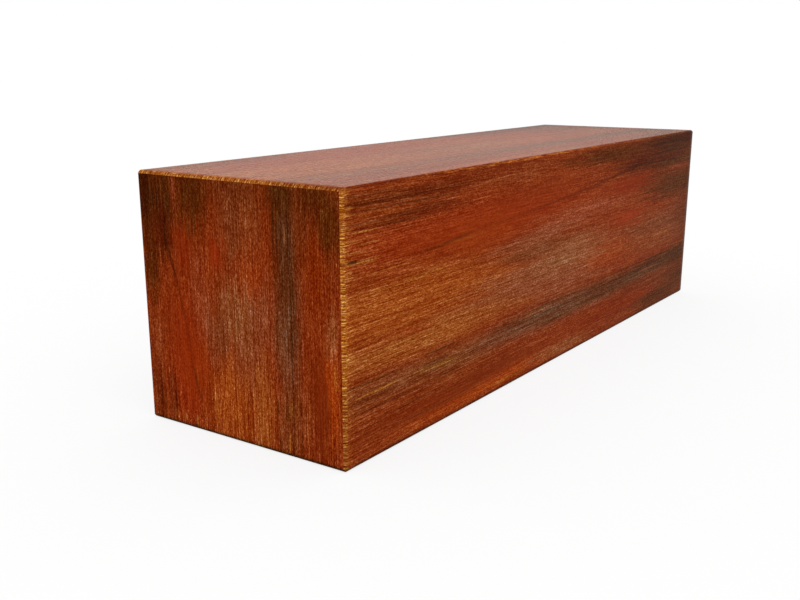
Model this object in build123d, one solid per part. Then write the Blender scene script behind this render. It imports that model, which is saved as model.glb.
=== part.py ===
"""A short square hardwood post, lying on one of its long faces.

It is one piece of planed stock: a square section with its four long arrises
eased, sawn to length, with the arrises of both sawn ends eased as well.

Frame: the origin is at the centre of the face that the post lies on,
+X runs along the length and the grain, and +Z is up. Lengths are in millimetres.
"""

from build123d import *

import os

# Driving dimensions
width = 88.9  # planed face to planed face, across: a nominal 4 in post finishes at 3.5 in
height = 88.9  # planed face to planed face, upright: the section is square
length = 304.8  # sawn end to sawn end: a one-foot piece
arris_ease = 1.0  # leg of the 45 degree bevel on the four long arrises
end_ease = 1.0  # leg of the 45 degree bevel round each sawn end


def planed_section():
    """The section as it leaves the planer, standing on the X axis of its sketch."""
    with BuildSketch() as section:
        with Locations((0, height / 2)):
            Rectangle(width, height)
        chamfer(section.vertices(), arris_ease)
    return section.sketch


def sawn_post():
    """The planed section run along X, sawn square at both ends, and the ends eased."""
    with BuildPart() as post:
        with BuildSketch(Plane.YZ.offset(-length / 2)):
            add(planed_section())
        extrude(amount=length)
        near_end, *_, far_end = post.faces().filter_by(Axis.X).sort_by(Axis.X)
        chamfer(near_end.edges() + far_end.edges(), end_ease)
    return post.part


post = sawn_post()
post.label = "post"

os.makedirs("parts", exist_ok=True)
export_step(post, "parts/post.step")

box = post.bounding_box()
print("post", box.min, box.max, "volume", round(post.volume), "faces", len(post.faces()))
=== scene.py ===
from math import radians

import bpy
import numpy as np
from mathutils import Matrix, Vector


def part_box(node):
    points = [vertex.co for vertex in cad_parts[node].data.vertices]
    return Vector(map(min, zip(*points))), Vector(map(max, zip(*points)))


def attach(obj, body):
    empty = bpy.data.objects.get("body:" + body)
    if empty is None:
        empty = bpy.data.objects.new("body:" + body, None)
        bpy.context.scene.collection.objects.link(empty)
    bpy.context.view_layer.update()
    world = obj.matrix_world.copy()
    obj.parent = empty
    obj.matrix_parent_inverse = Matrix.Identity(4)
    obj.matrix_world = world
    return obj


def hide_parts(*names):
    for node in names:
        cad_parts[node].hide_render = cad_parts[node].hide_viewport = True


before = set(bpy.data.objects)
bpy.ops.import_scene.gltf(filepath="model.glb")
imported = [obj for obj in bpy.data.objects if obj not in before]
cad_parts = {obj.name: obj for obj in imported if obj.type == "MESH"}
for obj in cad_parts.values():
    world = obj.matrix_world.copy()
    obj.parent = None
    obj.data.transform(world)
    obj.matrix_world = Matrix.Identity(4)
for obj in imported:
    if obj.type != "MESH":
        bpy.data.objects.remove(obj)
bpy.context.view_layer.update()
scene = bpy.context.scene
scene.view_settings.view_transform = "Standard"
mm = 0.001


def linear(code):
    parts = [int(code[i:i + 2], 16) / 255 for i in (1, 3, 5)]
    return [p / 12.92 if p <= 0.04045 else ((p + 0.055) / 1.055) ** 2.4 for p in parts] + [1.0]


def put(tree, kind, inputs=None, **settings):
    node = tree.nodes.new("ShaderNode" + kind)
    for name, value in settings.items():
        setattr(node, name, value)
    for key, value in (inputs or {}).items():
        if isinstance(value, bpy.types.NodeSocket):
            tree.links.new(value, node.inputs[key])
        else:
            node.inputs[key].default_value = value
    return node


# The post, meshed finely enough to carry the feel of its grain
post = {
    "cellAlong": 3.8 * mm,
    "cellAcross": 0.64 * mm,  # fibres lie along the post, so cells are long and narrow
    "ease": 1.0 * mm,  # leg of the planed arris, as in the CAD part
    "easeLines": (0, 0.25, 0.5, 0.75, 0.9, 1),  # from the middle of the arris to its border
    "easeNorm": 1.25,  # 1 is a flat bevel and 2 a full round: a bevel rubbed soft at its borders
    # raised grain: share, length and width of its ridges, and how far in from an arris they come up
    "ridges": ((0.6, 40 * mm, 1.7 * mm), (0.4, 90 * mm, 5 * mm)),
    "ridgeDepth": 0.04 * mm,
    "ridgeFade": 2.0 * mm,
    "ridgeSeed": 11,
    "arrisBorder": 0.25,  # share of the ease over which an arris takes on its own tone
    "arrisDies": 0.25,  # share of the length over which that tone dies out towards the far end
    # painted shade at the foot and over the far end: how far it reaches, over how much of that it builds
    # up, and how much of it there is
    "footShade": (1.8 * mm, 0.8 * mm, 1),
    "farFacesShade": ((4.5 * mm, 2.5 * mm, 0.75), (18 * mm, 16 * mm, 0.16)),
    "farArrisShade": (70 * mm, 50 * mm, 0.45),
    # topRim: how far in from its bevels the top comes to its painted sheen and its pimples
    "topRim": 1.2 * mm,  # how far in from its bevels the top comes to its faded tone
    "weld": 0.001 * mm,
    "atlasGap": 2 * mm,
}
lowCorner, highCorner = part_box("post")
size = np.array(highCorner) - np.array(lowCorner)

# Outward axis and sign, grid axes in right-handed order, then which way the figure runs:
# the axis it is laid along and the one it is laid across, each with 1 if it starts at the high side
sides = {
    "front": {"faces": (1, -1), "grid": (0, 2), "along": (0, 0), "across": (2, 1), "run": 0},
    "top": {"faces": (2, 1), "grid": (0, 1), "along": (0, 0), "across": (1, 1), "run": 0},
    "back": {"faces": (1, 1), "grid": (2, 0), "along": (0, 1), "across": (2, 0), "run": 1},
    "base": {"faces": (2, -1), "grid": (1, 0), "along": (0, 1), "across": (1, 0), "run": 2},
    "nearEnd": {"faces": (0, -1), "grid": (2, 1), "along": (2, 0), "across": (1, 1), "run": 0},
    "farEnd": {"faces": (0, 1), "grid": (1, 2), "along": (2, 0), "across": (1, 0), "run": 3},
}


def ruledLines(extent, cell):
    band = np.array(post["easeLines"]) * post["ease"]
    inner = np.linspace(band[-1], extent - band[-1], round((extent - 2 * band[-1]) / cell) + 1)
    return np.concatenate([band, inner[1:-1], extent - band[::-1]])


def onBoard(points, side):
    laid = []
    for axis, flipped in (side["along"], side["across"]):
        laid.append(size[axis] - points[..., axis] if flipped else points[..., axis])
    if side["faces"][0] == 0:
        laid[0] = laid[0] * size[0] / size[2]  # an end shows the whole figure, drawn up short
    return np.stack(laid, -1)


def streaks(board, cellLong, cellWide, dice):
    steps = board / (cellLong, cellWide)
    whole = np.floor(steps).astype(int)
    part = steps - whole
    part = part * part * (3 - 2 * part)
    heights = dice.random(whole.max((0, 1)) + 2)
    i, j = whole[..., 0], whole[..., 1]
    s, t = part[..., 0], part[..., 1]
    left = heights[i, j] * (1 - s) + heights[i + 1, j] * s
    right = heights[i, j + 1] * (1 - s) + heights[i + 1, j + 1] * s
    return left * (1 - t) + right * t


def wearAndShadeMarks(spot):
    ease = post["ease"]
    inward = np.minimum(spot, size - spot)
    fromFar = size[0] - spot[:, 0]
    onUpright = np.clip(1 - inward[:, :2].min(-1) / ease, 0, 1)
    onLong = np.clip(1 - inward[:, 1:].min(-1) / ease, 0, 1)

    # painted shade: the foot of the upright faces and their bevels is darkened, where shade falls by the
    # floor
    reach, build, share = post["footShade"]
    foot = share * np.clip((reach - spot[:, 2]) / build, 0, 1) * onUpright
    arris = np.clip(np.sort(ease - inward, -1)[:, 1] / (post["arrisBorder"] * ease), 0, 1) * (1 - foot)
    paintedShade = foot
    # painted shade: the long faces and their arrises darken towards the far end
    for reach, build, share in post["farFacesShade"]:
        paintedShade = np.maximum(paintedShade, share * np.clip((reach - fromFar) / build, 0, 1) * onLong)
    reach, build, share = post["farArrisShade"]
    paintedShade = np.maximum(paintedShade, share * np.clip((reach - fromFar) / build, 0, 1) * arris)
    arris = arris * np.clip(fromFar / (post["arrisDies"] * size[0]), 0, 1)

    lid = np.clip((spot[:, 2] - size[2]) / ease + 1, 0, 1)  # comes up over the bevels round the top
    level = np.clip((inward[:, :2].min(-1) - ease) / post["topRim"], 0, 1) * (lid == 1)
    return {"arris": arris, "paintedShade": paintedShade, "lid": lid, "level": level}


def buildPost():
    dice = np.random.default_rng(post["ridgeSeed"])
    ease = post["ease"]
    cells = (post["cellAlong"], post["cellAcross"], post["cellAcross"])
    lines = [ruledLines(size[axis], cells[axis]) for axis in range(3)]
    points, corners, boards, atlas, runs, sawn = [], [], [], [], [], []
    longSides = [s for s in sides.values() if s["faces"][0] != 0]
    count = 0
    for row, side in enumerate(sides.values()):
        axis, sign = side["faces"]
        a, b = side["grid"]
        grid = np.zeros((len(lines[a]), len(lines[b]), 3))
        grid[..., a] = lines[a][:, None]
        grid[..., b] = lines[b][None, :]
        grid[..., axis] = size[axis] if sign > 0 else 0

        # Grain relief goes inwards only and dies out before the arrises
        board = onBoard(grid, side)
        inward = np.minimum(grid, size - grid)
        edgeGap = np.minimum(inward[..., a], inward[..., b])
        fade = np.clip((edgeGap - ease) / post["ridgeFade"], 0, 1)
        relief = sum(share * streaks(board, long, wide, dice) for share, long, wide in post["ridges"])
        inset = np.zeros_like(grid)
        inset[..., axis] = -sign * post["ridgeDepth"] * relief * fade

        # Bevels: hold the inner box and push each rim point out to the eased section
        inner = np.clip(grid, ease, size - ease)
        offset = (grid - inner) / ease
        norm = (np.abs(offset) ** post["easeNorm"]).sum(-1, keepdims=True) ** (1 / post["easeNorm"])
        shaped = inner + ease * offset / norm + inset
        points.append(np.concatenate([grid, shaped], -1).reshape(-1, 6))

        index = np.arange(grid.shape[0] * grid.shape[1]).reshape(grid.shape[:2])
        quads = np.stack([index[:-1, :-1], index[1:, :-1], index[1:, 1:], index[:-1, 1:]], -1)
        quads = quads.reshape(-1, 4)
        flat = grid.reshape(-1, 3)[quads]
        laid = onBoard(flat, side)
        run = np.full(len(quads), side["run"], float)
        cut = np.full(len(quads), axis == 0, float)
        if axis == 0:  # the bevels round an end carry on the figure of the long faces
            gaps = [flat[..., s["faces"][0]] for s in longSides]
            gaps = [size[s["faces"][0]] - g if s["faces"][1] > 0 else g for s, g in zip(longSides, gaps)]
            middle = np.stack([g.mean(-1) for g in gaps], -1)
            for k, neighbour in enumerate(longSides):
                rim = (middle.argmin(-1) == k) & (middle[:, k] < ease)
                unfolded = flat[rim].copy()
                unfolded[..., 0] = size[0] + gaps[k][rim] if sign > 0 else -gaps[k][rim]
                laid[rim] = onBoard(unfolded, neighbour)
                run[rim] = neighbour["run"]
                cut[rim] = 0
        boards.append(laid)
        runs.append(run)
        sawn.append(cut)
        corners.append(quads + count)
        count += index.size

        # A plain atlas: the four long faces in rows, the two ends beside them
        gap = post["atlasGap"]
        if axis:
            spread = [flat[..., 0], flat[..., 3 - axis] + row * (size[1] + gap)]
        else:
            spread = [flat[..., 1] + size[0] + gap, flat[..., 2] + (row - len(longSides)) * (size[1] + gap)]
        atlas.append((np.stack(spread, -1) + gap) / (size[0] + size[1] + 3 * gap))

    # One skin: points of neighbouring sides that meet are welded
    points = np.concatenate(points)
    keys = np.round(points[:, :3] / post["weld"]).astype(np.int64)
    first, weld = np.unique(keys, axis=0, return_index=True, return_inverse=True)[1:]
    quads = weld.reshape(-1)[np.concatenate(corners)]
    shaped = points[first, 3:] + np.array(lowCorner)
    mesh = bpy.data.meshes.new("hardwood_post")
    mesh.from_pydata(shaped.tolist(), [], quads.tolist())
    mesh.shade_smooth()
    for name, values in (("board", boards), ("OFBake", atlas)):
        perCorner = np.concatenate(values).astype(np.float32).ravel()
        mesh.uv_layers.new(name=name).data.foreach_set("uv", perCorner)
    for name, values in (("run", runs), ("sawn", sawn)):
        perFace = np.concatenate(values).astype(np.float32)
        mesh.attributes.new(name, "FLOAT", "FACE").data.foreach_set("value", perFace)
    for name, values in wearAndShadeMarks(points[first, :3]).items():
        mesh.attributes.new(name, "FLOAT", "POINT").data.foreach_set("value", values.astype(np.float32))
    mesh.validate()
    piece = bpy.data.objects.new("hardwood_post", mesh)
    scene.collection.objects.link(piece)
    print("post:", len(mesh.vertices), "points,", len(mesh.polygons), "faces")
    return piece


# Red-brown tropical hardwood, planed and left bare: the planer leaves it close and silky, so colour comes
# from the wood itself (red heartwood, honey sapwood, brown-black bands), and a low look along it shows a
# pale bloom
hardwood = {
    "ground": "#7E300E",
    "tones": {
        "plum": "#622107",
        "fireRed": "#862C0B",
        "deepRed": "#782806",
        "garnet": "#76290A",
        "vermilion": "#862608",
        "rose": "#8E2E10",
        "brick": "#93380C",
        "coral": "#8A3F20",
        "honey": "#914112",
        "paleHoney": "#924919",
        "fawn": "#824325",
        "tan": "#8A502A",
        "cinnamon": "#783B1A",
        "olive": "#7C4A17",
        "russet": "#72381A",
        "chestnut": "#60290D",
        "cocoa": "#6C4026",
        "walnut": "#5E351C",
        "umber": "#5A2B10",
        "mahogany": "#502306",
        "oxblood": "#4E1803",
        "bog": "#4A2509",
        "peat": "#3A1503",
        "ink": "#2A1507",
        "straw": "#9A6026",
        "amber": "#9E5E1E",
        "wheat": "#985A22",
        "ash": "#94633C",
        "bark": "#783B1B",
        "cherry": "#742E14",
    },
    # tone, then mm along and across the board, half its length and width, and how strongly it shows
    "patches": [
        ("mahogany", 320, 8, 150, 30, 0.85),
        ("chestnut", 320, 76, 150, 22, 0.85),
        ("fireRed", 80, 20, 130, 13, 0.9),
        ("honey", 35, 41, 105, 13, 0.95),
        ("paleHoney", 50, 55, 95, 6, 0.9),
        ("fawn", 142, 48, 82, 13, 0.85),
        ("tan", 158, 44, 52, 9, 0.45),
        ("fawn", 160, 57, 52, 4, 0.45),
        ("coral", 168, 27, 60, 5.5, 0.8),
        ("fawn", 125, 32, 50, 5, 0.7),
        ("cinnamon", 138, 36.5, 45, 3, 0.6),
        ("bark", 38, 66.5, 78, 7, 0.9),
        ("cocoa", 150, 66.7, 88, 7.6, 0.95),
        ("umber", 205, 65.5, 60, 6.5, 0.85),
        ("walnut", 245, 66.5, 50, 4.5, 0.9),
        ("bog", 302, 65, 50, 7, 0.95),
        ("olive", 49, 67, 14, 1.7, 0.6),
        ("garnet", 45, 78, 95, 5, 0.9),
        ("brick", 90, 84.5, 80, 3.2, 0.95),
        ("tan", 152, 84.5, 34, 3.5, 0.65),
        ("deepRed", 215, 77.5, 58, 5.5, 0.9),
        ("mahogany", 268, 84, 44, 5.5, 0.8),
        ("mahogany", 298, 78, 32, 7, 0.8),
        ("brick", 80, 25, 42, 7, 0.3),
        ("brick", 203, 50, 45, 7, 0.5),
        ("russet", 258, 46, 55, 12, 0.9),
        ("chestnut", 308, 43, 40, 24, 0.9),
        ("cinnamon", 266, 52, 42, 6, 0.7),
        ("oxblood", 245, 10.5, 55, 6.5, 0.9),
        ("peat", 292, 3, 85, 5.5, 0.88),
        ("bog", 280, 14.5, 36, 2.4, 0.8),
        ("mahogany", 284, 27, 50, 8, 0.95),
        ("cherry", 284, 18, 26, 1.6, 0.75),
        ("bog", 272, 7, 34, 5, 0.35),
        ("vermilion", 222, 20.5, 36, 5.5, 0.55),
        ("rose", 219, 36.5, 17, 4.5, 0.6),
        ("plum", 36, 4.5, 56, 3.4, 0.9),
        ("plum", 34, 12, 46, 2.6, 0.75),
        ("cinnamon", 110, 5.5, 45, 4.5, 0.3),
        ("mahogany", 195, 4.5, 55, 5, 0.9),
        ("plum", 118, 12, 34, 5.5, 0.2),
        ("oxblood", 238, 17, 36, 8, 0.1),
        ("brick", 250, 50, 34, 5.5, 0.22),
        ("plum", 118, 77.5, 30, 4.5, 0.14),
        ("plum", 190, 59, 30, 4, 0.12),
    ],
    # single strokes, drawn where they lie and given the same way
    "strokes": [
        ("oxblood", 28, 5.8, 36, 0.5, 0.7),
        ("plum", 92, 1.6, 42, 1.8, 0.45),
        ("oxblood", 32, 13.4, 18, 0.55, 0.6),
        ("plum", 45, 10.4, 20, 1.2, 0.7),
        ("mahogany", 13, 62.2, 19, 0.6, 0.65),
        ("chestnut", 15, 67.4, 17, 0.5, 0.7),
        ("oxblood", 20, 71.3, 20, 0.5, 0.65),
        ("oxblood", 60, 71.2, 11, 0.45, 0.7),
        ("mahogany", 55, 61.3, 13, 0.5, 0.8),
        ("umber", 51, 65.2, 11, 1.0, 0.6),
        ("bog", 146, 62.2, 28, 0.7, 0.5),
        ("bog", 143, 70.2, 13, 0.5, 0.6),
        ("bog", 190, 69, 27, 1.0, 0.6),
        ("umber", 200, 65.3, 23, 0.8, 0.6),
        ("bog", 264, 62, 23, 0.6, 0.85),
        ("bog", 282, 64.4, 17, 0.7, 0.8),
        ("ink", 252, 61.5, 58, 0.4, 0.5),
        ("ink", 262, 63, 50, 0.35, 0.5),
        ("ink", 232, 64.8, 52, 0.35, 0.5),
        ("ink", 244, 67.4, 44, 0.35, 0.4),
        ("mahogany", 155, 5.6, 11, 0.5, 0.8),
        ("peat", 270, 3.8, 32, 1.1, 0.7),
        ("peat", 233, 12.5, 23, 0.8, 0.9),
        ("bog", 280, 22.7, 20, 0.9, 0.6),
        ("mahogany", 250, 27.1, 15, 0.6, 0.8),
        ("umber", 240, 24, 11, 0.5, 0.7),
        ("mahogany", 262, 82.2, 26, 2.2, 0.6),
        ("russet", 122, 37.6, 26, 4, 0.6),
        ("walnut", 143, 45.2, 11, 0.4, 0.4),
        ("amber", 27, 27.6, 23, 0.35, 0.4),
        ("amber", 30, 33.6, 29, 0.4, 0.35),
        ("amber", 45, 32.7, 15, 0.35, 0.6),
        ("amber", 67, 24.6, 17, 0.5, 0.25),
        ("wheat", 12, 17.8, 7, 0.4, 0.65),
        ("wheat", 11, 14, 8, 0.4, 0.55),
        ("wheat", 6, 20, 7, 0.4, 0.55),
        ("wheat", 11, 23.3, 8, 1.0, 0.55),
        ("amber", 17, 66, 13, 0.45, 0.7),
        ("ash", 140, 44.2, 27, 0.35, 0.6),
        ("ash", 151, 46.5, 15, 0.5, 0.45),
        ("tan", 130, 33.3, 15, 0.35, 0.7),
        ("tan", 264, 50.2, 21, 0.4, 0.7),
        ("amber", 105, 85.4, 17, 0.6, 0.6),
        ("tan", 126, 63.6, 12, 0.35, 0.8),
        ("cinnamon", 250, 66.2, 13, 0.4, 0.8),
        ("rose", 218, 36.6, 10, 2.2, 0.35),
    ],
    # bundles of fibres that show through the patches, dark ones and light ones, given the same way
    "darkThreads": [
        ("ink", 135, 66.5, 100, 6, 0.6),
        ("ink", 240, 64.5, 70, 6, 0.55),
        ("ink", 275, 10, 45, 7, 0.75),
        ("umber", 30, 8, 50, 9, 0.7),
        ("umber", 55, 76, 80, 12, 0.45),
        ("umber", 150, 38, 60, 4, 0.5),
    ],
    "lightThreads": [
        ("straw", 4, 21, 20, 8, 0.45),
        ("straw", 10, 50, 30, 45, 0.12),
        ("olive", 14, 8, 30, 9, 0.2),
        ("straw", 60, 48, 70, 10, 0.25),
        ("ash", 150, 45, 45, 9, 0.42),
        ("straw", 55, 70, 40, 8, 0.35),
        ("rose", 32, 50, 18, 2.5, 0.7),
    ],
    "cores": (0.2, 0.5),  # how far out from its middle a patch keeps its strength, and a stroke
    "rim": 1.15,  # where both end, in half lengths
    "feather": (70, 5),  # mm that the fibres draw a patch about, along and across
    "strandBand": 0.14,  # how much of the noise about its middle a bundle of fibres takes
    # the growth line in shares of the length and width, then how much of it shows along the length
    "line": ((0, 0.3), (0.15, 0.283), (0.25, 0.259), (0.4, 0.236), (0.5, 0.212), (0.6, 0.188),
             (0.7, 0.158), (0.76, 0.145), (1, 0.135)),
    "lineShow": ((0, 0), (0.1, 0), (0.15, 0.6), (0.2, 0.65), (0.26, 0.35), (0.32, 0.3), (0.45, 0.55),
                 (0.58, 0.7), (0.68, 0.9), (0.78, 0.8), (0.88, 0)),
    "lineTone": "#4A1804",
    "lineEdges": (0.1, 1.0),  # mm from its middle at which it starts to thin, and ends
    "lineBreaks": (0.35, 0.6, 0.4),  # noise below the first leaves the last of it, above the second all
    "chip": (4.2, 22.6, 4, 0.7),  # mm along and across, half its length and width
    "chipCore": 0.4,
    "chipShow": 0.85,
    # noise fields: mm along and across one cell, detail, roughness. Real fibres are a few hundredths of a
    # millimetre wide, too fine to show, so grit, dash and hair are drawn at about 0.3 mm
    "fields": {
        "wander": (90, 25, 1, 0.5),
        "feather": (34, 1.7, 2, 0.6),
        "grit": (0.9, 0.3, 1, 0.8),
        "nap": (2, 2, 1, 0.6),
        "dash": (7, 0.34, 0, 0.5),
        "grain": (9, 1.9, 1, 0.8),
        "hair": (24, 0.36, 1, 0.6),
        "thread": (70, 1.5, 1, 0.6),
        "strand": (55, 0.5, 1, 0.6),
        "reach": (40, 1.1, 2, 0.7),
        "tick": (30, 0.6, 0, 0.5),
        "fleck": (2.4, 0.45, 1, 0.7),
        "stipple": (1, 1, 0, 0.5),
    },
    "fieldStep": 5.3,  # cells between one field and the next
    "runStep": 37,  # and between one run of the figure and the next
    "longOnEnds": ("grit", "hair", "dash", "thread", "strand"),  # not drawn up short on an end
    # fibres: how far each field swings the colour
    "swing": {"grit": 2.1, "fleck": 0.7, "dash": 0.65, "grain": 0.18, "hair": 1.05, "thread": 0.22},
    "topSpeck": 0.7,
    "depths": ((1, 0), (2, 0.2), (3.2, 1.2)),  # powers for red, green and blue: all fibres, dark ones more
    "openGrain": (1.5, 1, 140),  # how loud the hairs are at the near end, further in, and mm between
    "sawnCrisp": 0.15,  # how much louder the fibres are on a sawn end
    # close-grained places, where the fibres show less
    "calm": [
        (78, 23, 62, 9, 0.55),
        (75, 80, 75, 5, 0.5),
        (130, 17, 60, 9, 0.35),
        (222, 21, 40, 6, 0.4),
        (219, 36.5, 18, 4.5, 0.5),
    ],
    # wear: rubbed arrises go from red to pale and part of the way back, over these mm along
    "arrisTones": ("#5E1D05", "#A05218"),
    "arrisShow": 0.8,
    "arrisTurns": (25, 75, 140, 215),
    "arrisLeft": 0.35,  # how pale they stay
    "arrisDashes": (0.39, 0.55),  # noise over which the pale dashes come up
    # the tone and strength of the painted shade at the foot and the far end
    "paintedShadeTone": "#2E1406",
    "paintedShadeShow": 0.9,
    # broken fibres at the near end, bleached gold
    "gold": {
        "tone": "#BE762C",
        "show": 0.42,
        "noise": (0.35, 0.75),
        "reach": (-0.5, 6.5),  # mm in from the end for that noise
        "soft": (-3, 4),  # mm about that reach over which they come up
        "tickNoise": (0.42, 0.55),
        "tickShow": (1, 0.2),  # ticks on the arris itself, for that noise
        "arris": (0.7, 1.4),  # mm from the end where ticks give way to fibres
        "lower": (50, 86, 0.45),  # mm across over which they get fewer, and how many are left
        "top": (0.5, 0.75),  # the same up the bevel by the top
    },
    # painted sheen paling the top: how much by the near end, by the far end, and mm between
    "paintedSheen": (0.19, 0.09, 300),
    "paintedSheenTone": "#B08878",
    # painted shade: a sawn end is tinted deeper and redder, at its foot and more at its top
    "sawnShadeTint": ("#FFEBD8", "#F8E2C8"),  # a sawn end at its foot and at its top
    # finish: the usual index of wood, hardly any gloss as it is bare, and a fine nap that gives the bloom
    "ior": 1.5,
    "specular": 0.001,
    "roughness": (0.3, 0.4),
    "roughNoise": (0.3, 0.7),
    "paintedShadeRoughness": 0.9,
    "sheen": 0.48,
    "sheenRoughness": 0.23,
    "sheenTint": "#FFE7DC",
    "napDepth": 0.1 * mm,
    "pimples": 2,  # half their swing on the top, in nap depths
}


def oval(tree, ground, place, core, strength):
    along, across, halfLong, halfWide = place
    off = put(tree, "VectorMath", {0: ground, 1: (1 / halfLong, 1 / halfWide, 0),
                                   2: (-along / halfLong, -across / halfWide, 0)}, operation="MULTIPLY_ADD")
    away = put(tree, "VectorMath", {0: off.outputs[0]}, operation="LENGTH").outputs["Value"]
    return put(tree, "MapRange", {0: away, 1: core, 2: hardwood["rim"], 3: strength, 4: 0},
               interpolation_type="SMOOTHSTEP").outputs[0]


# On an end the figure is drawn up short, so its fine fields are drawn out again to their real length
def layFields(tree, inMm, marks):
    layer = put(tree, "Math", {0: marks["run"], 1: hardwood["runStep"]}, operation="MULTIPLY").outputs[0]
    deep = put(tree, "CombineXYZ", {2: layer}).outputs[0]
    seat = put(tree, "VectorMath", {0: inMm, 1: deep}, operation="ADD").outputs[0]
    short = put(tree, "Math", {0: marks["sawn"], 1: size[2] / size[0] - 1, 2: 1},
                operation="MULTIPLY_ADD").outputs[0]
    scale = put(tree, "CombineXYZ", {0: short, 1: 1, 2: 1}).outputs[0]
    drawnOut = put(tree, "VectorMath", {0: seat, 1: scale}, operation="MULTIPLY").outputs[0]
    field = {}
    for order, (name, (long, wide, detail, rough)) in enumerate(hardwood["fields"].items()):
        ground = drawnOut if name in hardwood["longOnEnds"] else seat
        step = (0, 0, hardwood["fieldStep"] * order)
        cell = put(tree, "VectorMath", {0: ground, 1: (1 / long, 1 / wide, 1), 2: step},
                   operation="MULTIPLY_ADD").outputs[0]
        field[name] = put(tree, "TexNoise", {"Vector": cell, "Scale": 1, "Detail": detail,
                                             "Roughness": rough}).outputs["Fac"]
    return field


def drawFigure(tree, field, inMm, feathered):
    band = hardwood["strandBand"]
    dark = put(tree, "MapRange", {0: field["strand"], 1: 0.5, 2: 0.5 + band}).outputs[0]
    light = put(tree, "MapRange", {0: field["strand"], 1: 0.5, 2: 0.5 - band}).outputs[0]
    soft, crisp = hardwood["cores"]
    colour = linear(hardwood["ground"])
    for group, ground, strands, core in (
        ("patches", feathered, None, soft),
        ("darkThreads", feathered, dark, soft),
        ("lightThreads", feathered, light, soft),
        ("strokes", inMm, None, crisp),
    ):
        for tone, *place, strength in hardwood[group]:
            mask = oval(tree, ground, place, core, strength)
            if strands:
                mask = put(tree, "Math", {0: mask, 1: strands}, operation="MULTIPLY").outputs[0]
            colour = put(tree, "Mix", {0: mask, 6: colour, 7: linear(hardwood["tones"][tone])},
                         data_type="RGBA").outputs[2]
    return colour


# One dark growth line that climbs across the figure
def drawLine(tree, colour, field, lengthwise, across):
    drawn = []
    for shape in ("line", "lineShow"):
        curve = put(tree, "FloatCurve", {"Value": lengthwise})
        dots = curve.mapping.curves[0].points
        for x, y in hardwood[shape][1:-1]:
            dots.new(x, y)
        dots[0].location = hardwood[shape][0]
        dots[-1].location = hardwood[shape][-1]
        curve.mapping.update()
        drawn.append(curve.outputs[0])
    gap = put(tree, "Math", {0: drawn[0], 1: -size[1] / mm, 2: across}, operation="MULTIPLY_ADD").outputs[0]
    gap = put(tree, "Math", {0: gap}, operation="ABSOLUTE").outputs[0]
    thin, end = hardwood["lineEdges"]
    ink = put(tree, "MapRange", {0: gap, 1: thin, 2: end, 3: drawn[1], 4: 0},
              interpolation_type="SMOOTHSTEP").outputs[0]
    low, high, left = hardwood["lineBreaks"]
    broken = put(tree, "MapRange", {0: field["dash"], 1: low, 2: high, 3: left, 4: 1}).outputs[0]
    ink = put(tree, "Math", {0: ink, 1: broken}, operation="MULTIPLY").outputs[0]
    return put(tree, "Mix", {0: ink, 6: colour, 7: linear(hardwood["lineTone"])},
               data_type="RGBA").outputs[2]


# The eased arrises are rubbed, then painted shade darkens the foot and the far end
def wearArrisesAndShade(tree, colour, field, marks, along):
    paleFrom, paleTo, redFrom, redTo = hardwood["arrisTurns"]
    paler = put(tree, "MapRange", {0: along, 1: paleFrom, 2: paleTo}).outputs[0]
    paler = put(tree, "MapRange", {0: along, 1: redFrom, 2: redTo, 3: paler,
                                   4: hardwood["arrisLeft"]}).outputs[0]
    low, high = hardwood["arrisDashes"]
    paler = put(tree, "MapRange", {0: field["dash"], 1: low, 2: high, 3: 0, 4: paler}).outputs[0]
    red, pale = hardwood["arrisTones"]
    rubbed = put(tree, "Mix", {0: paler, 6: linear(red), 7: linear(pale)}, data_type="RGBA").outputs[2]
    worn = put(tree, "Math", {0: marks["arris"], 1: hardwood["arrisShow"]}, operation="MULTIPLY").outputs[0]
    colour = put(tree, "Mix", {0: worn, 6: colour, 7: rubbed}, data_type="RGBA").outputs[2]
    shadeAmount = put(tree, "Math", {0: marks["paintedShade"], 1: hardwood["paintedShadeShow"]}, operation="MULTIPLY").outputs[0]
    return put(tree, "Mix", {0: shadeAmount, 6: colour, 7: linear(hardwood["paintedShadeTone"])},
               data_type="RGBA").outputs[2]


# Fibres broken by the saw at the near end reach in by uneven lengths, and cross the arris as fine ticks
def bleachEnd(tree, colour, field, marks, along, across):
    gold = hardwood["gold"]
    reach = put(tree, "MapRange", {0: field["reach"], 1: gold["noise"][0], 2: gold["noise"][1],
                                   3: gold["reach"][0], 4: gold["reach"][1]}).outputs[0]
    inside = put(tree, "Math", {0: reach, 1: along}, operation="SUBTRACT").outputs[0]
    fibres = put(tree, "MapRange", {0: inside, 1: gold["soft"][0], 2: gold["soft"][1],
                                    3: 0, 4: gold["show"]}, interpolation_type="SMOOTHSTEP").outputs[0]
    ticks = put(tree, "MapRange", {0: field["tick"], 1: gold["tickNoise"][0], 2: gold["tickNoise"][1],
                                   3: gold["tickShow"][0], 4: gold["tickShow"][1]}).outputs[0]
    gild = put(tree, "MapRange", {0: along, 1: gold["arris"][0], 2: gold["arris"][1],
                                  3: ticks, 4: fibres}).outputs[0]
    start, end, left = gold["lower"]
    fewer = put(tree, "MapRange", {0: across, 1: start, 2: end, 3: 1, 4: left}).outputs[0]
    gild = put(tree, "Math", {0: gild, 1: fewer}, operation="MULTIPLY").outputs[0]
    end, left = gold["top"]
    fewer = put(tree, "MapRange", {0: marks["lid"], 2: end, 3: 1, 4: left}).outputs[0]
    gild = put(tree, "Math", {0: gild, 1: fewer}, operation="MULTIPLY").outputs[0]
    return put(tree, "Mix", {0: gild, 6: colour, 7: linear(gold["tone"])}, data_type="RGBA").outputs[2]


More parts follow.
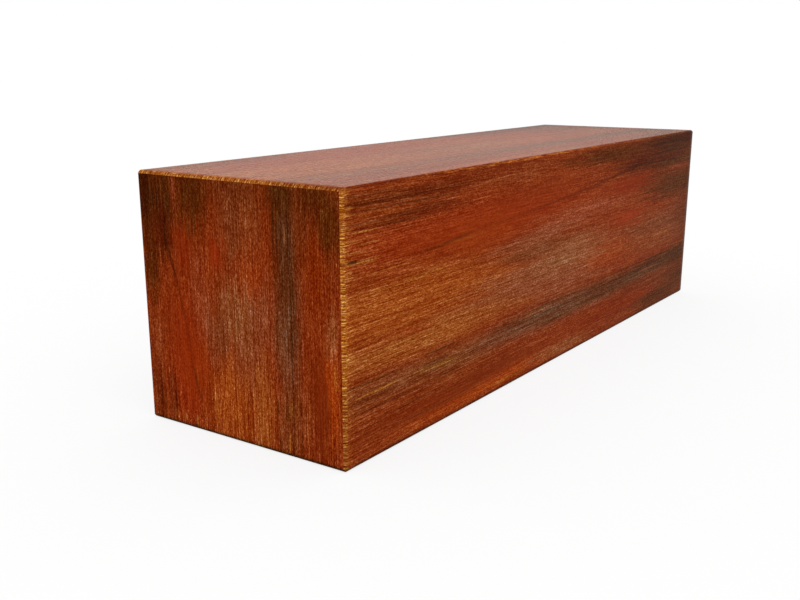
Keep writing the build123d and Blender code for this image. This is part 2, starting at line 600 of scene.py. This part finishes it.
# Fibres: red holds steady while green and blue swing, as in the wood
def raiseFibres(tree, colour, field, marks, along, feathered):
    atEnd, within, reach = hardwood["openGrain"]
    opened = put(tree, "MapRange", {0: along, 2: reach, 3: atEnd, 4: within}).outputs[0]
    fine = None
    for name, swing in hardwood["swing"].items():
        centred = put(tree, "Math", {0: field[name], 1: 0.5}, operation="SUBTRACT").outputs[0]
        if name == "hair":
            centred = put(tree, "Math", {0: centred, 1: opened}, operation="MULTIPLY").outputs[0]
        fine = put(tree, "Math", {0: centred, 1: swing, 2: fine or 0}, operation="MULTIPLY_ADD").outputs[0]
    speck = put(tree, "MapRange", {0: field["nap"], 3: -hardwood["topSpeck"], 4: hardwood["topSpeck"]})
    fine = put(tree, "Math", {0: speck.outputs[0], 1: marks["lid"], 2: fine},
               operation="MULTIPLY_ADD").outputs[0]
    crisp = put(tree, "Math", {0: marks["sawn"], 1: hardwood["sawnCrisp"], 2: 1},
                operation="MULTIPLY_ADD").outputs[0]
    for *place, strength in hardwood["calm"]:
        quiet = oval(tree, feathered, place, hardwood["cores"][0], strength)
        loud = put(tree, "Math", {0: 1, 1: quiet}, operation="SUBTRACT").outputs[0]
        crisp = put(tree, "Math", {0: crisp, 1: loud}, operation="MULTIPLY").outputs[0]
    fine = put(tree, "Math", {0: fine, 1: crisp}, operation="MULTIPLY").outputs[0]
    swell = put(tree, "Math", {0: fine}, operation="EXPONENT").outputs[0]
    shade = put(tree, "Math", {0: swell, 1: 1}, operation="MINIMUM").outputs[0]
    bands = {}
    for channel, (lit, shaded) in enumerate(hardwood["depths"]):
        lift = put(tree, "Math", {0: swell, 1: lit}, operation="POWER").outputs[0]
        sink = put(tree, "Math", {0: shade, 1: shaded}, operation="POWER").outputs[0]
        bands[channel] = put(tree, "Math", {0: lift, 1: sink}, operation="MULTIPLY").outputs[0]
    tint = put(tree, "CombineXYZ", bands).outputs[0]
    return put(tree, "Mix", {0: 1, 6: colour, 7: tint}, data_type="RGBA", blend_type="MULTIPLY").outputs[2]


def planedHardwood():
    material = bpy.data.materials.new("planed red hardwood")
    material.use_nodes = True
    tree = material.node_tree
    tree.nodes.clear()
    marks = {}
    for name in ("run", "sawn", "arris", "paintedShade", "lid", "level"):
        marks[name] = put(tree, "Attribute", attribute_name=name).outputs["Fac"]
    board = put(tree, "UVMap", uv_map="board").outputs[0]
    inMm = put(tree, "VectorMath", {0: board, 1: (1 / mm, 1 / mm, 0)}, operation="MULTIPLY").outputs[0]
    spot = put(tree, "SeparateXYZ", {0: inMm})
    along, across = spot.outputs[0], spot.outputs[1]
    lengthwise = put(tree, "Math", {0: along, 1: size[0] / mm}, operation="DIVIDE").outputs[0]
    field = layFields(tree, inMm, marks)

    # Each patch ends in a feather of fibres, so places are shifted along the grain by a streaky field
    long, wide = hardwood["feather"]
    shift = put(tree, "Math", {0: field["feather"], 1: long, 2: -long / 2},
                operation="MULTIPLY_ADD").outputs[0]
    sway = put(tree, "Math", {0: field["wander"], 1: wide, 2: -wide / 2},
               operation="MULTIPLY_ADD").outputs[0]
    drift = put(tree, "CombineXYZ", {0: shift, 1: sway}).outputs[0]
    feathered = put(tree, "VectorMath", {0: inMm, 1: drift}, operation="ADD").outputs[0]

    colour = drawFigure(tree, field, inMm, feathered)
    colour = drawLine(tree, colour, field, lengthwise, across)
    chip = oval(tree, inMm, hardwood["chip"], hardwood["chipCore"], hardwood["chipShow"])
    colour = put(tree, "Mix", {0: chip, 6: colour, 7: linear(hardwood["tones"]["ink"])},
                 data_type="RGBA").outputs[2]
    colour = wearArrisesAndShade(tree, colour, field, marks, along)
    colour = bleachEnd(tree, colour, field, marks, along, across)
    colour = raiseFibres(tree, colour, field, marks, along, feathered)

    # Painted sheen: the top is paled towards a pink-grey, most by the near end
    near, far, reach = hardwood["paintedSheen"]
    paintedSheen = put(tree, "MapRange", {0: along, 2: reach, 3: near, 4: far}).outputs[0]
    paintedSheen = put(tree, "Math", {0: paintedSheen, 1: marks["level"]}, operation="MULTIPLY").outputs[0]
    colour = put(tree, "Mix", {0: paintedSheen, 6: colour, 7: linear(hardwood["paintedSheenTone"])},
                 data_type="RGBA").outputs[2]

    # Painted shade on a sawn end: deeper and redder, most of all at the top
    foot, head = hardwood["sawnShadeTint"]
    endShade = put(tree, "Mix", {0: lengthwise, 6: linear(foot), 7: linear(head)}, data_type="RGBA").outputs[2]
    colour = put(tree, "Mix", {0: marks["sawn"], 6: colour, 7: endShade}, data_type="RGBA",
                 blend_type="MULTIPLY").outputs[2]

    # Roughness follows the fibres, and where shade is painted at the foot and the far end it does not shine
    start, end = hardwood["roughNoise"]
    low, high = hardwood["roughness"]
    rough = put(tree, "MapRange", {0: field["thread"], 1: start, 2: end, 3: low, 4: high}).outputs[0]
    rough = put(tree, "MapRange", {0: marks["paintedShade"], 3: rough, 4: hardwood["paintedShadeRoughness"]}).outputs[0]

    # The top has lain open, so its nap stands up in pimples that speckle the bloom
    swing = hardwood["pimples"]
    pimples = put(tree, "MapRange", {0: field["stipple"], 3: -swing, 4: swing}).outputs[0]
    height = put(tree, "Math", {0: pimples, 1: marks["level"], 2: field["nap"]},
                 operation="MULTIPLY_ADD").outputs[0]
    bump = put(tree, "Bump", {"Strength": 1, "Distance": hardwood["napDepth"], "Height": height})
    shader = put(tree, "BsdfPrincipled", {"Base Color": colour, "Roughness": rough, "IOR": hardwood["ior"],
                                          "Specular IOR Level": hardwood["specular"],
                                          "Sheen Weight": hardwood["sheen"],
                                          "Sheen Roughness": hardwood["sheenRoughness"],
                                          "Sheen Tint": linear(hardwood["sheenTint"]),
                                          "Normal": bump.outputs[0]})
    put(tree, "OutputMaterial", {0: shader.outputs[0]})
    print("hardwood:", len(tree.nodes), "nodes,", len(hardwood["patches"]), "patches")
    return material


piece = buildPost()
piece.data.materials.append(planedHardwood())
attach(piece, "root")
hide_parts("post")


# White paper floor: matt, and lit from within a little for the camera so that it meets the white room
floor = {"radius": 6.0, "below": 0.02 * mm, "paper": "#D0D0D0", "glow": 1.1, "share": 0.72}


def layFloor():
    reach = floor["radius"]
    mesh = bpy.data.meshes.new("floor")
    mesh.from_pydata([(-reach, -reach, 0), (reach, -reach, 0), (reach, reach, 0), (-reach, reach, 0)],
                     [], [(0, 1, 2, 3)])
    sheet = bpy.data.objects.new("floor", mesh)
    sheet.location.z = lowCorner.z - floor["below"]
    scene.collection.objects.link(sheet)
    material = bpy.data.materials.new("white paper")
    material.use_nodes = True
    tree = material.node_tree
    tree.nodes.clear()
    seen = put(tree, "LightPath")
    kinds = put(tree, "Math", {0: seen.outputs["Is Camera Ray"], 1: seen.outputs["Is Glossy Ray"]},
                operation="ADD")
    kinds = put(tree, "Math", {0: kinds.outputs[0], 1: seen.outputs["Is Transmission Ray"]},
                operation="ADD")
    lift = put(tree, "Math", {0: kinds.outputs[0], 1: floor["share"]}, operation="MULTIPLY")
    paper = put(tree, "BsdfDiffuse", {"Color": linear(floor["paper"])})
    glow = put(tree, "Emission", {"Color": (1, 1, 1, 1), "Strength": floor["glow"]})
    blend = put(tree, "MixShader", {0: lift.outputs[0], 1: paper.outputs[0], 2: glow.outputs[0]})
    put(tree, "OutputMaterial", {0: blend.outputs[0]})
    mesh.materials.append(material)
    print("floor laid")


layFloor()


# Soft studio light: a white room, and one very wide lamp over the near corner that lights both faces alike
studio = {"room": 1.0, "lamp": 0.92, "lampAngle": 70, "lampFrom": (-0.41, -0.56, 0.6)}


def lightStudio():
    world = bpy.data.worlds.new("white room")
    scene.world = world
    world.use_nodes = True
    tree = world.node_tree
    tree.nodes.clear()
    room = put(tree, "Background", {"Color": (1, 1, 1, 1), "Strength": studio["room"]})
    put(tree, "OutputWorld", {0: room.outputs[0]})
    lamp = bpy.data.lights.new("wide soft lamp", "SUN")
    lamp.energy = studio["lamp"]
    lamp.angle = radians(studio["lampAngle"])
    holder = bpy.data.objects.new("wide soft lamp", lamp)
    holder.rotation_euler = Vector(studio["lampFrom"]).to_track_quat("Z", "Y").to_euler()
    scene.collection.objects.link(holder)
    print("studio lit")


lightStudio()


# The camera as fitted to the block's corners, low over the near left one. The picture's middle lies 20
# pixels above the lens axis and 7 to its right, so the lens is shifted by that much of the 800 pixel width
view = {
    "place": (-0.3696, -0.2168, 0.1234),
    "heading": 54.598,
    "tilt": 14.94,
    "roll": 0.115,
    "lens": 43.215,
    "sensor": 36,
    "nearest": 0.01,
    "shift": (7.2 / 800, 20.4 / 800),
}


def setCamera():
    lens = bpy.data.cameras.new("camera")
    lens.sensor_width = view["sensor"]
    lens.lens = view["lens"]
    lens.shift_x, lens.shift_y = view["shift"]
    lens.clip_start = view["nearest"]
    camera = bpy.data.objects.new("camera", lens)
    turn = Matrix.Rotation(radians(-view["heading"]), 4, "Z")
    turn = turn @ Matrix.Rotation(radians(90 - view["tilt"]), 4, "X")
    turn = turn @ Matrix.Rotation(radians(-view["roll"]), 4, "Z")
    camera.matrix_world = Matrix.Translation(view["place"]) @ turn
    scene.collection.objects.link(camera)
    scene.camera = camera
    print("camera set")


setCamera()
